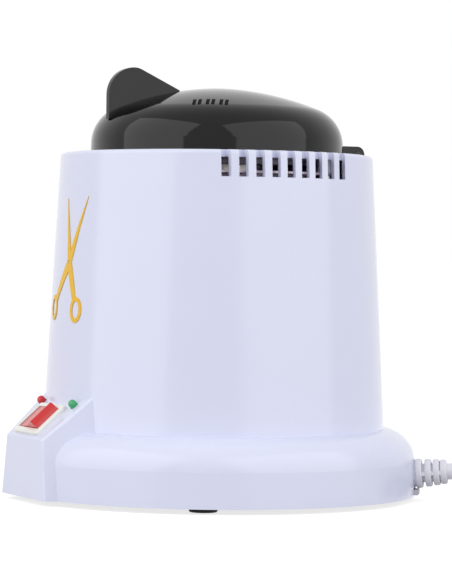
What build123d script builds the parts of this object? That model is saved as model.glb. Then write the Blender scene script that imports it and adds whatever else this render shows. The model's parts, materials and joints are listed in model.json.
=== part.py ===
# Glass bead sterilizer: a bench-top pot that heats quartz beads in a metal well.
# A conical white housing with a round skirt and a sloped switch nose, a hinged black
# dome lid with a finger fin, a hanging well with band heater, and a mains lead.
# Frame: origin on the floor under the well's axis, +Z up, the switch nose towards -Y.

import math
import os

from build123d import *

# Overall stance, in millimetres
foot_height = 2.5
skirt_foot_z = 2.0
skirt_radius = 75.0
skirt_draft = 0.4
skirt_wall_z = 14.5
cone_foot_radius = 62.9
cone_foot_z = 26.0
rim_z = 126.1
rim_radius = 57.5
wall = 2.0
deck_thickness = 2.5
rim_round = 1.5
shoulder_in = 0.274
shoulder_up = 0.652
shoulder_slack = 0.72

# Switch nose at the front
nose_front_low = skirt_radius + 1.4
nose_front_high = skirt_radius + 0.6
nose_half_low = 19.5
nose_half_high = 12.5
nose_splay = 0.42
nose_back = 48.0
nose_loft_top = 46.0
nose_round = 1.6
panel_angle = 41.0
panel_edge_y = -(skirt_radius + 0.8)
panel_edge_z = 23.6

# Side vents, cut along X so that every slot is parallel
vent_count = 9
vent_pitch = 5.8
vent_width = 3.2
vent_low_z = 116.6
vent_depth = 3.4

# Lid
lid_gap = 0.3
lid_radius = 46.7
lid_wall_top = (lid_radius - 0.2, rim_z + 4.9)
lid_shoulder = (lid_radius - 9.2, rim_z + 17.0)
lid_mid = (lid_radius - 27.3, rim_z + 22.4)
lid_apex_z = rim_z + 24.7
lid_wall = 2.2
fin_thickness = 2.4
fin_front = lid_radius - 2.1
fin_back = 16.2
fin_low_z = rim_z + 11.9
fin_front_z = rim_z + 20.9
fin_shoulder = (lid_radius - 4.9, rim_z + 27.8)
fin_top = (lid_radius - 11.8, rim_z + 30.9)
fin_bend = (lid_radius - 13.6, rim_z + 30.8)
fin_slope_top = (lid_radius - 15.4, rim_z + 30.2)
fin_slope_foot_z = rim_z + 23.3
liner_z = rim_z + 11.9
liner_sheet = 0.8
liner_radius = lid_radius - 10.7
post_circle = 26.0
post_radius = 3.0
post_height = 6.9
lid_slot_width = 3.2
lid_slot_length = 6.0
lid_slot_pitch = 4.8
lid_slot_radius = 35.5
lid_slot_angle = 59.0
lid_slot_rib = 0.7

# Lid hinge at the back
hinge_y = rim_radius - 3.5
hinge_z = rim_z + 1.5
barrel_radius = 3.0
pin_radius = 1.2
running_gap = 0.07
hinge_gap = 0.4
knuckle_inner = 5.8
lid_knuckle_width = 4.8
hinge_block_low_z = rim_z - 7.1

# Well and its collar
well_inner_radius = 23.0
well_wall = 1.0
well_floor_z = 68.0
well_flange_radius = 31.0
collar_hole_radius = 25.0
collar_radius = 35.6
collar_flange_radius = 39.0
collar_low_z = rim_z - 4.1
collar_top_z = rim_z + 1.8
fit_gap = 0.3
bead_level_z = 106.0
bead_corner = 2.7
bead_heap = 1.2

# Heater, insulation and heat shield
heater_low_z = 74.0
heater_high_z = 106.0
heater_thickness = 2.4
heater_slot = 5.0
thermostat_radius = 6.6
thermostat_flange = 2.0
thermostat_height = 8.5
thermostat_tab = 5.0
fuse_radius = 2.0
fuse_length = 12.0
fuse_offset = 14.0
ear_length = 7.0
ear_thickness = 1.6
shield_radius = 42.6
shield_sheet = 0.8
shield_low_z = 54.0
shield_flange_radius = shield_radius + 9.4
shield_flange_z = 118.2
shield_floor_hole = 14.0
boss_radius = 3.2
boss_top_z = 25.0
shield_screw_radius = shield_radius + 4.4
shield_screw_angles = (60.0, 180.0, 300.0)

# Base plate, feet and their screws
plate_low_z = 2.5
plate_thickness = 2.0
plate_gap = 0.4
foot_radius = 5.0
foot_circle = skirt_radius - 13.0
foot_angles = (60.0, 180.0, 300.0)
screw_radius = 1.5
screw_head_radius = 2.7
screw_head_height = 1.6
inlet_slots = 16
inlet_radius = 38.0

# Rocker switch and indicator lamps on the nose panel
bezel_length = 21.0
bezel_width = 15.0
bezel_height = 1.6
bezel_start = 1.1
switch_cut_length = 19.0
switch_cut_width = 13.0
switch_body_depth = 14.0
terminal_length = 7.5
rocker_pocket_length = 17.6
rocker_pocket_width = 10.9
rocker_radius = 8.6
rocker_width = 10.5
rocker_tip_angle = 32.0
rocker_tilt = 13.0
rocker_pivot_depth = 1.5
trunnion_radius = 1.2
lamp_radius = 1.5
lamp_spacing = 28.0
lamp_along = 17.4
lamp_height = 2.6

# Cord, its strain relief and plug
cord_angle = 144.0
cord_radius = 3.0
relief_axis_z = 10.0
relief_rise = 5.0
relief_hole_radius = 5.0
relief_flange_radius = 6.4
relief_core_radius = 3.7
relief_rings = 4
relief_ring_radius = 5.4
relief_ring_taper = 0.3
relief_ring_width = 2.3
relief_first_ring = 2.3
relief_pitch = 3.4
relief_pitch_step = 0.4
relief_rib_height = 1.5
tab_width = 8.0
tab_reach = skirt_radius + 1.3
tab_root = 10.0
inner_lead_length = 10.4
clamp_inset = 9.5
clamp_width = 18.0
clamp_depth = 4.5
clamp_height = 8.6
clamp_screw_reach = 6.2
clamp_screw_radius = 1.2
block_inset = 21.5
block_width = 24.0
block_depth = 12.0
block_height = 11.0
block_pitch = 7.6
block_well_radius = 2.0
block_well_depth = 4.5
wire_radius = 0.9
coil_radius = 33.0
coil_width = 18.0
coil_height = 11.2
coil_centre = (52.4, 136.1)
coil_floor = 0.1
coil_turn_z = 8.2
tail_turn = 12.0
tail_length = 32.0
plug_axis_z = 7.0
plug_length = 36.0
plug_width = 35.3
plug_thickness = 13.7
plug_neck_width = 15.0
plug_neck_thickness = 10.5
plug_relief_length = 14.0
plug_pin_radius = 2.0
plug_pin_length = 19.0
plug_pin_spacing = 18.6

# Printed scissors on the front of the cone
print_thickness = 0.25
print_pivot = (1.8, 86.0)
print_left_tip = (-2.4, 109.0)
print_right_tip = (12.4, 109.6)
print_left_ring = (-11.5, 69.5)
print_right_ring = (8.2, 69.0)
print_ring_width = 7.4
print_ring_height = 9.2
print_ring_line = 1.5
print_blade_width = 3.4

os.makedirs("parts", exist_ok=True)


def around(radius, angle, z=0.0):
    """A point at this radius, at an angle turned from the front towards +X."""
    a = math.radians(angle)
    return (radius * math.sin(a), -radius * math.cos(a), z)


def save(part, label):
    part.label = label
    export_step(part, f"parts/{label}.step")


def cone_radius(z):
    """Outer radius of the conical wall at a height."""
    share = (z - cone_foot_z) / (rim_z - cone_foot_z)
    return cone_foot_radius + share * (rim_radius - cone_foot_radius)


panel_slope = math.radians(panel_angle)
along_panel = Vector(0, math.cos(panel_slope), math.sin(panel_slope))
off_panel = Vector(0, -math.sin(panel_slope), math.cos(panel_slope))


def panel_plane(along=0.0, off=0.0):
    """The nose panel's plane, moved up the slope and off its face."""
    start = Vector(0, panel_edge_y, panel_edge_z) + along_panel * along + off_panel * off
    return Plane(origin=start, x_dir=(1, 0, 0), z_dir=off_panel)


def pot_section(inset, low, high):
    """Half section of the round housing, drawn inside its outer face by an inset."""
    with BuildSketch(Plane.XZ) as section:
        with BuildLine():
            skirt_low = (skirt_radius - inset, low)
            skirt_high = (skirt_radius - skirt_draft - inset, skirt_wall_z)
            cone_foot = (cone_foot_radius - inset, cone_foot_z - inset)
            shoulder = (
                skirt_high[0] + shoulder_in * (cone_foot[0] - skirt_high[0]) + (1 - shoulder_slack) * inset,
                skirt_wall_z + shoulder_up * (cone_foot_z - skirt_wall_z) - shoulder_slack * inset,
            )
            cone_top = (cone_radius(high) - inset, high)
            Polyline((0, high), (0, low), skirt_low, skirt_high)
            ThreePointArc(skirt_high, shoulder, cone_foot)
            Polyline(cone_foot, cone_top, (0, high))
        make_face()
        if inset == 0:
            rim = section.vertices().group_by(Axis.Y)[-1].sort_by(Axis.X)[-1]
            fillet(rim, rim_round)
    return section.sketch


def nose_block(inset, low):
    """Tapered nose, cut by the panel plane, drawn inside its outer face by an inset."""
    with BuildPart() as nose:
        for z, front, half in (
            (low, nose_front_low, nose_half_low),
            (nose_loft_top, nose_front_high, nose_half_high),
        ):
            reach = front - nose_back
            half_back = half + nose_splay * reach
            with BuildSketch(Plane.XY.offset(z)):
                with BuildLine():
                    Polyline(
                        (-half + inset, inset - front),
                        (half - inset, inset - front),
                        (half_back - inset, -nose_back),
                        (inset - half_back, -nose_back),
                        close=True,
                    )
                make_face()
        loft(ruled=True)
        split(bisect_by=panel_plane(off=-inset), keep=Keep.BOTTOM)
        if inset == 0:
            slope = nose.faces().filter_by(lambda f: f.normal_at().dot(off_panel) > 0.99)
            front = nose.faces().filter_by(lambda f: f.normal_at().Y < -0.9)
            sides = front.edges().filter_by(lambda e: abs(e.tangent_at(0.5).Z) > 0.9)
            top_edges = slope.edges().filter_by(lambda e: e.center().Y < -nose_back - 1)
            fillet(sides + top_edges, nose_round)
    return nose.part


# Housing: round shell, skirt and nose in one moulding
with BuildPart() as pot:
    add(pot_section(0, skirt_foot_z, rim_z))
    revolve(axis=Axis.Z)

with BuildPart() as pot_hollow:
    add(pot_section(wall, skirt_foot_z - 1, rim_z - deck_thickness))
    revolve(axis=Axis.Z)

nose_outer = nose_block(0, skirt_foot_z)
nose_hollow = nose_block(wall, skirt_foot_z - 1)

relief_turn = Axis((0, 0, 0), around(1, cord_angle - 90))
relief_axis = Vector(*around(1, cord_angle)).rotate(relief_turn, relief_rise)
relief_seat = Vector(*around(skirt_radius - wall, cord_angle, relief_axis_z))
relief_plane = Plane(origin=relief_seat, z_dir=relief_axis, x_dir=around(1, cord_angle - 90))

with BuildPart() as housing:
    add(pot.part)
    add(nose_outer)
    add(pot_hollow.part, mode=Mode.SUBTRACT)
    add(nose_hollow, mode=Mode.SUBTRACT)
    for angle in foot_angles:
        with BuildSketch(Plane.XY.offset(plate_low_z + plate_thickness)):
            with Locations(around(foot_circle, angle)):
                Circle(boss_radius)
        extrude(amount=boss_top_z - plate_low_z - plate_thickness)
    with BuildSketch(Plane.XY.offset(shield_flange_z + shield_sheet)):
        for angle in shield_screw_angles:
            with Locations(around(shield_screw_radius, angle + 180)):
                Circle(boss_radius)
    extrude(amount=rim_z - deck_thickness - shield_flange_z - shield_sheet + 0.5)
    hinge_block_depth = rim_z - deck_thickness - hinge_block_low_z
    with BuildSketch(Plane.XY.offset(hinge_block_low_z)):
        with Locations((0, hinge_y - 3)):
            Rectangle(2 * (knuckle_inner + lid_knuckle_width) + 5, 7)
    extrude(amount=hinge_block_depth + 0.5)
    # centre knuckle with its web
    with BuildSketch(Plane.YZ):
        with Locations((hinge_y, hinge_z)):
            Circle(barrel_radius)
        with Locations((hinge_y, rim_z - deck_thickness)):
            Rectangle(2 * barrel_radius, hinge_z - rim_z + deck_thickness, align=(Align.CENTER, Align.MIN))
    extrude(amount=knuckle_inner - hinge_gap / 2, both=True)
    # pockets for the lid's two knuckles
    pocket_low = hinge_z - barrel_radius - hinge_gap
    for side in (-1, 1):
        with BuildSketch(Plane.XY.offset(pocket_low)):
            with Locations((side * (knuckle_inner + lid_knuckle_width / 2), hinge_y - barrel_radius - hinge_gap)):
                Rectangle(
                    lid_knuckle_width + hinge_gap,
                    2 * barrel_radius + 4,
                    align=(Align.CENTER, Align.MIN),
                )
        extrude(amount=2 * barrel_radius, mode=Mode.SUBTRACT)
    # pin bore through the centre knuckle
    with BuildSketch(Plane.YZ):
        with Locations((hinge_y, hinge_z)):
            Circle(pin_radius)
    extrude(amount=knuckle_inner + lid_knuckle_width, both=True, mode=Mode.SUBTRACT)
    # deck hole for the collar
    with BuildSketch(Plane.XY.offset(rim_z)):
        Circle(collar_radius + fit_gap)
    extrude(amount=-2 * deck_thickness, mode=Mode.SUBTRACT)
    # parallel vent slots through both sides, up over the rim
    for side in (-1, 1):
        for i in range(vent_count):
            y = (i - (vent_count - 1) / 2) * vent_pitch
            face_x = math.sqrt(cone_radius(rim_z) ** 2 - y**2)
            with BuildSketch(Plane.XY.offset(vent_low_z)):
                with Locations((side * face_x, y)):
                    Rectangle(2 * vent_depth, vent_width)
            extrude(amount=rim_z - vent_low_z + 1, mode=Mode.SUBTRACT)
    # switch cut-out and lamp holes in the panel
    with BuildSketch(panel_plane(bezel_start + bezel_width / 2, 1)):
        Rectangle(switch_cut_length, switch_cut_width)
    extrude(amount=-wall - 2, mode=Mode.SUBTRACT)
    with BuildSketch(panel_plane(lamp_along, 1)):
        with Locations((-lamp_spacing / 2, 0), (lamp_spacing / 2, 0)):
            Circle(lamp_radius + 0.1)
    extrude(amount=-wall - 2, mode=Mode.SUBTRACT)
    # cord outlet, and the notch below it that the base plate's tab closes
    with BuildSketch(relief_plane.offset(-2)):
        Circle(relief_hole_radius)
    extrude(amount=2 * wall + 3, mode=Mode.SUBTRACT)
    with BuildSketch(Plane.XY.offset(skirt_foot_z)):
        with Locations(Location(around(skirt_radius, cord_angle), cord_angle)):
            Rectangle(tab_width + 2 * fit_gap, 4 * wall)
    extrude(amount=relief_axis_z - relief_hole_radius - skirt_foot_z + 0.4, mode=Mode.SUBTRACT)
save(housing.part, "housing")
print("housing", housing.part.volume, len(housing.part.solids()), housing.part.is_valid)


# Base plate with feet, screws and air inlets
plate_top_z = plate_low_z + plate_thickness
with BuildPart() as base_plate:
    with BuildSketch(Plane.XY.offset(plate_low_z)):
        Circle(skirt_radius - wall - plate_gap)
        half = nose_half_low - wall - plate_gap
        front = nose_front_low - wall - plate_gap
        half_back = half + nose_splay * (front - nose_back)
        Polygon((-half, -front), (half, -front), (half_back, -nose_back), (-half_back, -nose_back), align=None)
        tab_length = tab_reach - (skirt_radius - tab_root)
        with Locations(Location(around(tab_reach - tab_length / 2, cord_angle), cord_angle)):
            Rectangle(tab_width, tab_length)
    extrude(amount=plate_thickness)
    flange_pocket_z = relief_axis_z - relief_flange_radius - 0.5
    with BuildSketch(Plane.XY.offset(flange_pocket_z)):
        with Locations(Location(around(skirt_radius - wall - 3, cord_angle), cord_angle)):
            Rectangle(2 * relief_flange_radius, 6)
    extrude(amount=plate_thickness, mode=Mode.SUBTRACT)
    with BuildSketch(Plane.XY.offset(plate_low_z)):
        for angle in foot_angles:
            with Locations(around(foot_circle, angle)):
                Circle(screw_radius + 0.1)
        with PolarLocations(inlet_radius, inlet_slots):
            SlotOverall(12, 2.4)
    extrude(amount=plate_thickness, mode=Mode.SUBTRACT)
save(base_plate.part, "base_plate")

for name, angle in zip(("foot_right", "foot_back", "foot_left"), foot_angles):
    with BuildPart(Plane(around(foot_circle, angle))) as foot:
        Cylinder(foot_radius, plate_low_z, align=(Align.CENTER, Align.CENTER, Align.MIN))
        fillet(foot.edges().sort_by(Axis.Z)[0], 0.6)
        Cylinder(screw_head_radius + 0.1, screw_head_height, align=(Align.CENTER, Align.CENTER, Align.MIN), mode=Mode.SUBTRACT)
        Cylinder(screw_radius + 0.1, plate_low_z, align=(Align.CENTER, Align.CENTER, Align.MIN), mode=Mode.SUBTRACT)
    save(foot.part, name)

with BuildPart() as base_screws:
    for angle in foot_angles:
        with BuildSketch(Plane.XY.offset(0.4)):
            with Locations(around(foot_circle, angle)):
                Circle(screw_head_radius)
        extrude(amount=screw_head_height - 0.4)
        with BuildSketch(Plane.XY.offset(screw_head_height)):
            with Locations(around(foot_circle, angle)):
                Circle(screw_radius)
        extrude(amount=plate_top_z - screw_head_height)
save(base_screws.part, "base_screws")

# Collar ring that lines the deck hole and carries the well
with BuildPart() as collar:
    with BuildSketch(Plane.XZ):
        with BuildLine():
            ledge_z = collar_top_z - well_wall
            Polyline(
                (collar_hole_radius, collar_low_z),
                (collar_radius, collar_low_z),
                (collar_radius, rim_z),
                (collar_flange_radius, rim_z),
                (collar_flange_radius, collar_top_z),
                (well_flange_radius + fit_gap, collar_top_z),
                (well_flange_radius + fit_gap, ledge_z),
                (collar_hole_radius, ledge_z),
                close=True,
            )
        make_face()
    revolve(axis=Axis.Z)
    outer = collar.edges().filter_by(GeomType.CIRCLE).group_by(Axis.Z)[-1].sort_by(SortBy.RADIUS)[-1]
    fillet(outer, 0.7)
save(collar.part, "collar")

# Drawn metal well with a flat flange
well_outer = well_inner_radius + well_wall
with BuildPart() as well:
    with BuildSketch(Plane.XZ):
        with BuildLine():
            Polyline(
                (0, well_floor_z),
                (well_outer, well_floor_z),
                (well_outer, ledge_z),
                (well_flange_radius, ledge_z),
                (well_flange_radius, collar_top_z),
                (well_inner_radius, collar_top_z),
                (well_inner_radius, well_floor_z + well_wall),
                (0, well_floor_z + well_wall),
                close=True,
            )
        make_face()
    revolve(axis=Axis.Z)
    floor_edges = well.edges().filter_by(GeomType.CIRCLE).group_by(Axis.Z)
    fillet(floor_edges[0], 3.0)
    mouth = well.edges().filter_by(GeomType.CIRCLE).group_by(Axis.Z)[-1].sort_by(SortBy.RADIUS)[0]
    fillet(mouth, 0.8)
save(well.part, "well")

# Bead fill, kept as one body with a slightly heaped top
with BuildPart() as beads:
    with BuildSketch(Plane.XZ):
        with BuildLine():
            bead_radius = well_inner_radius - fit_gap
            bead_low = well_floor_z + well_wall + fit_gap
            Polyline(
                (0, bead_low),
                (bead_radius - bead_corner, bead_low),
                (bead_radius, bead_low + bead_corner),
                (bead_radius, bead_level_z - bead_heap),
                (bead_radius / 2, bead_level_z),
                (0, bead_level_z),
                close=True,
            )
        make_face()
    revolve(axis=Axis.Z)
save(beads.part, "glass_beads")

# Band heater: a split ring drawn tight by one screw through two ears
with BuildPart() as heater_band:
    with BuildSketch(Plane.XY.offset(heater_low_z)):
        Circle(well_outer + heater_thickness)
        with Locations((0, well_outer + heater_thickness + ear_length / 2 - 0.6)):
            Rectangle(heater_slot + 2 * ear_thickness, ear_length + 1.2)
        Circle(well_outer, mode=Mode.SUBTRACT)
        with Locations((0, well_outer + ear_length / 2)):
            Rectangle(heater_slot, ear_length + 12, mode=Mode.SUBTRACT)
    extrude(amount=heater_high_z - heater_low_z)
    ear_y = well_outer + heater_thickness + ear_length / 2 + 0.6
    ear_z = (heater_low_z + heater_high_z) / 2
    with BuildSketch(Plane.YZ):
        with Locations((ear_y, ear_z)):
            Circle(screw_radius)
    extrude(amount=heater_slot, both=True, mode=Mode.SUBTRACT)
save(heater_band.part, "heater_band")

ear_outer = heater_slot / 2 + ear_thickness
with BuildPart() as band_screw:
    with BuildSketch(Plane.YZ.offset(-ear_outer - 2)):
        with Locations((ear_y, ear_z)):
            Circle(screw_radius)
    extrude(amount=2 * ear_outer + 5)
    with BuildSketch(Plane.YZ.offset(ear_outer)):
        with Locations((ear_y, ear_z)):
            Circle(screw_head_radius)
    extrude(amount=2.0)
save(band_screw.part, "band_screw")

with BuildPart() as band_nut:
    with BuildSketch(Plane.YZ.offset(-ear_outer)):
        with Locations((ear_y, ear_z)):
            RegularPolygon(2.9, 6)
            Circle(screw_radius, mode=Mode.SUBTRACT)
    extrude(amount=-1.9)
save(band_nut.part, "band_nut")

# Ceramic wool sleeve between heater and shield, with a slot for the band's ears
wool_inner = well_outer + heater_thickness + fit_gap
wool_outer = shield_radius - shield_sheet - fit_gap
with BuildPart() as insulation:
    with BuildSketch(Plane.XY.offset(heater_low_z - 4)):
        Circle(wool_outer)
        Circle(wool_inner, mode=Mode.SUBTRACT)
        with Locations((0, wool_outer - 8)):
            Rectangle(2 * ear_outer + 8, 22, mode=Mode.SUBTRACT)
    extrude(amount=heater_high_z - heater_low_z + 8)
save(insulation.part, "insulation")

# Sheet heat shield: a can with a floor, hung from the deck by its flange
with BuildPart() as heat_shield:
    with BuildSketch(Plane.XZ):
        with BuildLine():
            Polyline(
                (shield_floor_hole, shield_low_z),
                (shield_radius, shield_low_z),
                (shield_radius, shield_flange_z),
                (shield_flange_radius, shield_flange_z),
                (shield_flange_radius, shield_flange_z + shield_sheet),
                (shield_radius - shield_sheet, shield_flange_z + shield_sheet),
                (shield_radius - shield_sheet, shield_low_z + shield_sheet),
                (shield_floor_hole, shield_low_z + shield_sheet),
                close=True,
            )
        make_face()
    revolve(axis=Axis.Z)
    with BuildSketch(Plane.XY.offset(shield_flange_z)):
        for angle in shield_screw_angles:
            with Locations(around(shield_screw_radius, angle + 180)):
                Circle(screw_radius + 0.1)
    extrude(amount=shield_sheet, mode=Mode.SUBTRACT)
save(heat_shield.part, "heat_shield")

with BuildPart() as shield_screws:
    for angle in shield_screw_angles:
        with BuildSketch(Plane.XY.offset(shield_flange_z - 1.5)):
            with Locations(around(shield_screw_radius, angle + 180)):
                Circle(screw_head_radius)
        extrude(amount=1.5)
        with BuildSketch(Plane.XY.offset(shield_flange_z)):
            with Locations(around(shield_screw_radius, angle + 180)):
                Circle(screw_radius)
        extrude(amount=shield_sheet)
save(shield_screws.part, "shield_screws")

# Snap thermostat pressed to the underside of the well
with BuildPart() as thermostat:
    with BuildSketch(Plane.XY.offset(well_floor_z)):
        Circle(thermostat_radius + 1)
    extrude(amount=-thermostat_flange)
    with BuildSketch(Plane.XY.offset(well_floor_z - thermostat_flange)):
        Circle(thermostat_radius)
    extrude(amount=thermostat_flange - thermostat_height)
    with BuildSketch(Plane.XY.offset(well_floor_z - thermostat_height)):
        with Locations((-4, 0), (4, 0)):
            Rectangle(0.8, 5)
    extrude(amount=-thermostat_tab)
save(thermostat.part, "thermostat")

# Thermal fuse lying against the well's floor
with BuildPart() as thermal_fuse:
    with BuildSketch(Plane.XZ):
        with Locations((-fuse_offset, well_floor_z - fuse_radius - 0.2)):
            Circle(fuse_radius)
    extrude(amount=fuse_length / 2, both=True)
save(thermal_fuse.part, "thermal_fuse")

# Lid: dome shell with finger fin, slots, screw posts and hinge knuckles
lid_low_z = rim_z + lid_gap


def dome_section(inset):
    """Half section of the dome, drawn inside its outer face by an inset."""
    with BuildSketch(Plane.XZ) as section:
        with BuildLine():
            apex = (0, lid_apex_z - inset)
            shoulder = (lid_shoulder[0] - 0.35 * inset, lid_shoulder[1] - 0.95 * inset)
            wall_top = (lid_wall_top[0] - inset, lid_wall_top[1])
            crown = ThreePointArc(apex, (lid_mid[0], lid_mid[1] - inset), shoulder)
            TangentArc(shoulder, wall_top, tangent=crown % 1)
            foot = (lid_radius - inset, lid_low_z - (1 if inset else 0))
            Polyline(wall_top, foot, (0, foot[1]), apex)
        make_face()
    return section.sketch


with BuildPart() as lid_hollow:
    add(dome_section(lid_wall))
    revolve(axis=Axis.Z)

with BuildPart() as lid:
    add(dome_section(0))
    revolve(axis=Axis.Z)
    with BuildSketch(Plane.YZ):
        with BuildLine():
            back_low = (-fin_back, fin_front_z)
            front = (-fin_front, fin_front_z)
            top = (-fin_top[0], fin_top[1])
            slope_top = (-fin_slope_top[0], fin_slope_top[1])
            Polyline(back_low, (-fin_front, fin_low_z), front)
            ThreePointArc(front, (-fin_shoulder[0], fin_shoulder[1]), top)
            ThreePointArc(top, (-fin_bend[0], fin_bend[1]), slope_top)
            Polyline(slope_top, (-fin_back, fin_slope_foot_z), back_low)
        make_face()
    extrude(amount=fin_thickness / 2, both=True)
    for side in (-1, 1):
        with BuildSketch(Plane.YZ.offset(side * (knuckle_inner + hinge_gap / 2))):
            with Locations((hinge_y, hinge_z)):
                Circle(barrel_radius)
            arm_start = math.sqrt(lid_radius**2 - 12**2) - 2.0
            arm_high = hinge_z + barrel_radius
            Polygon((arm_start, lid_low_z), (hinge_y, lid_low_z), (hinge_y, arm_high), (arm_start, arm_high), align=None)
        extrude(amount=side * (lid_knuckle_width - hinge_gap))
    add(lid_hollow.part, mode=Mode.SUBTRACT)
    with BuildSketch(Plane.YZ):
        with Locations((hinge_y, hinge_z)):
            Circle(pin_radius + running_gap)
    extrude(amount=knuckle_inner + 2 * lid_knuckle_width, both=True, mode=Mode.SUBTRACT)
    # liner posts
    with BuildSketch(Plane.XY.offset(liner_z + liner_sheet)):
        with PolarLocations(post_circle, 3, start_angle=90):
            Circle(post_radius)
    extrude(amount=post_height)
    # ribbed steam slots on both flanks
    for side in (-1, 1):
        for i in (-1, 0, 1):
            spot = around(lid_slot_radius, side * lid_slot_angle)
            turn = side * lid_slot_angle - 90
            with BuildSketch(Plane.XY.offset(lid_shoulder[1] - 6)):
                with Locations(Location(spot, turn)):
                    with Locations((0, i * lid_slot_pitch)):
                        Rectangle(lid_slot_length, lid_slot_width)
                        Rectangle(lid_slot_length, lid_slot_rib, mode=Mode.SUBTRACT)
            extrude(amount=12, mode=Mode.SUBTRACT)
save(lid.part, "lid")

with BuildPart() as lid_liner:
    with BuildSketch(Plane.XY.offset(liner_z)):
        Circle(liner_radius)
        with PolarLocations(post_circle, 3, start_angle=90):
            Circle(screw_radius + 0.1, mode=Mode.SUBTRACT)
    extrude(amount=liner_sheet)
save(lid_liner.part, "lid_liner")

with BuildPart() as liner_screws:
    with BuildSketch(Plane.XY.offset(liner_z)):
        with PolarLocations(post_circle, 3, start_angle=90):
            Circle(screw_head_radius)
    extrude(amount=-screw_head_height)
    with BuildSketch(Plane.XY.offset(liner_z)):
        with PolarLocations(post_circle, 3, start_angle=90):
            Circle(screw_radius)
    extrude(amount=liner_sheet)
save(liner_screws.part, "liner_screws")

with BuildPart() as hinge_pin:
    with BuildSketch(Plane.YZ):
        with Locations((hinge_y, hinge_z)):
            Circle(pin_radius)
    extrude(amount=knuckle_inner + lid_knuckle_width, both=True)
save(hinge_pin.part, "hinge_pin")

# Rocker switch
bezel_mid = bezel_start + bezel_width / 2
with BuildPart() as switch_body:
    with BuildSketch(panel_plane(bezel_mid)):
        RectangleRounded(bezel_length, bezel_width, 1.0)
    extrude(amount=bezel_height)
    chamfer(switch_body.faces().filter_by(lambda f: f.normal_at().dot(off_panel) > 0.99).edges(), 0.5)
    with BuildSketch(panel_plane(bezel_mid)):
        Rectangle(switch_cut_length - 2 * 0.15, switch_cut_width - 2 * 0.15)
    extrude(amount=-switch_body_depth)
    with BuildSketch(panel_plane(bezel_mid, bezel_height)):
        Rectangle(rocker_pocket_length, rocker_pocket_width)
    extrude(amount=-bezel_height - 9, mode=Mode.SUBTRACT)
    pivot_plane = panel_plane(bezel_mid, -rocker_pivot_depth)
    axle_plane = Plane(origin=pivot_plane.origin, x_dir=(1, 0, 0), z_dir=-along_panel)
    with BuildSketch(axle_plane):
        Circle(trunnion_radius + running_gap)
    extrude(amount=rocker_pocket_width / 2 + 0.7, both=True, mode=Mode.SUBTRACT)
save(switch_body.part, "switch_body")

tilt = math.radians(rocker_tilt)
rocker_plane = Plane(
    origin=pivot_plane.origin,
    x_dir=Vector(1, 0, 0) * math.cos(tilt) + off_panel * math.sin(tilt),
    z_dir=-along_panel,
)
with BuildPart() as rocker:
    with BuildSketch(rocker_plane):
        with BuildLine():
            tip_x = rocker_radius * math.cos(math.radians(rocker_tip_angle))
            tip_y = rocker_radius * math.sin(math.radians(rocker_tip_angle))
            low_x = rocker_radius * math.cos(math.radians(20))
            low_y = -rocker_radius * math.sin(math.radians(20))
            Polyline((-tip_x, tip_y), (0, tip_y - 0.9), (tip_x, tip_y))
            ThreePointArc((tip_x, tip_y), (rocker_radius, 0), (low_x, low_y))
            Line((low_x, low_y), (-low_x, low_y))
            ThreePointArc((-low_x, low_y), (-rocker_radius, 0), (-tip_x, tip_y))
        make_face()
    extrude(amount=rocker_width / 2, both=True)
    with BuildSketch(rocker_plane):
        Circle(trunnion_radius)
    extrude(amount=rocker_pocket_width / 2 + 0.5, both=True)
save(rocker.part, "rocker")

with BuildPart() as switch_terminals:
    with BuildSketch(panel_plane(bezel_mid, -switch_body_depth)):
        with Locations((-5, 0), (5, 0)):
            Rectangle(0.8, 4.8)
    extrude(amount=-terminal_length)
save(switch_terminals.part, "switch_terminals")

# Indicator lamps and their small board
lamp_board_off = -6.0
for name, side in (("lamp_green", 1), ("lamp_red", -1)):
    with BuildPart() as lamp:
        lamp_x = side * lamp_spacing / 2
        with BuildSketch(panel_plane(lamp_along, -wall)):
            with Locations((lamp_x, 0)):
                Circle(lamp_radius)
        extrude(amount=wall + lamp_height - lamp_radius)
        dome_plane = panel_plane(lamp_along, lamp_height - lamp_radius)
        with Locations(Location(dome_plane.from_local_coords((lamp_x, 0, 0)))):
            Sphere(lamp_radius)
        with BuildSketch(panel_plane(lamp_along, -wall)):
            with Locations((lamp_x, 0)):
                Circle(lamp_radius + 0.4)
        extrude(amount=-1.0)
        with BuildSketch(panel_plane(lamp_along, -wall - 1)):
            with Locations((lamp_x - 0.8, 0), (lamp_x + 0.8, 0)):
                Rectangle(0.5, 0.5)
        extrude(amount=lamp_board_off + wall + 1)
    save(lamp.part, name)

with BuildPart() as lamp_board:
    with BuildSketch(panel_plane(lamp_along + 1.5, lamp_board_off)):
        Rectangle(lamp_spacing + 8, 7)
    extrude(amount=-1.6)
save(lamp_board.part, "lamp_board")

# Ribbed strain relief
with BuildPart() as strain_relief:
    with BuildSketch(relief_plane.offset(-2.8)):
        Circle(relief_flange_radius)
    extrude(amount=1.8)
    with BuildSketch(relief_plane.offset(-2.8)):
        Circle(relief_core_radius)
    start = relief_first_ring
    ends = []
    for i in range(relief_rings):
        ends.append(start)
        start += relief_pitch - i * relief_pitch_step
    tip = ends[-1] + relief_ring_width
    extrude(amount=tip + 2.8)
    for i, at in enumerate(ends):
        with BuildSketch(relief_plane.offset(at)):
            Circle(relief_ring_radius - i * relief_ring_taper)
        extrude(amount=relief_ring_width)
    rings = strain_relief.edges().filter_by(GeomType.CIRCLE).filter_by(
        lambda e: e.radius > relief_core_radius + 0.5 and e.radius < relief_ring_radius + 0.1
    )
    fillet(rings, 0.6)
    with BuildSketch(relief_plane.offset(-1.0)):
        Circle(relief_hole_radius - 0.2)
    extrude(amount=relief_first_ring + 1.0)
    with BuildSketch(relief_plane.offset(relief_first_ring)):
        Rectangle(2 * (relief_ring_radius - 1.3), relief_rib_height)
    extrude(amount=tip - relief_first_ring - 0.4)
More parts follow.
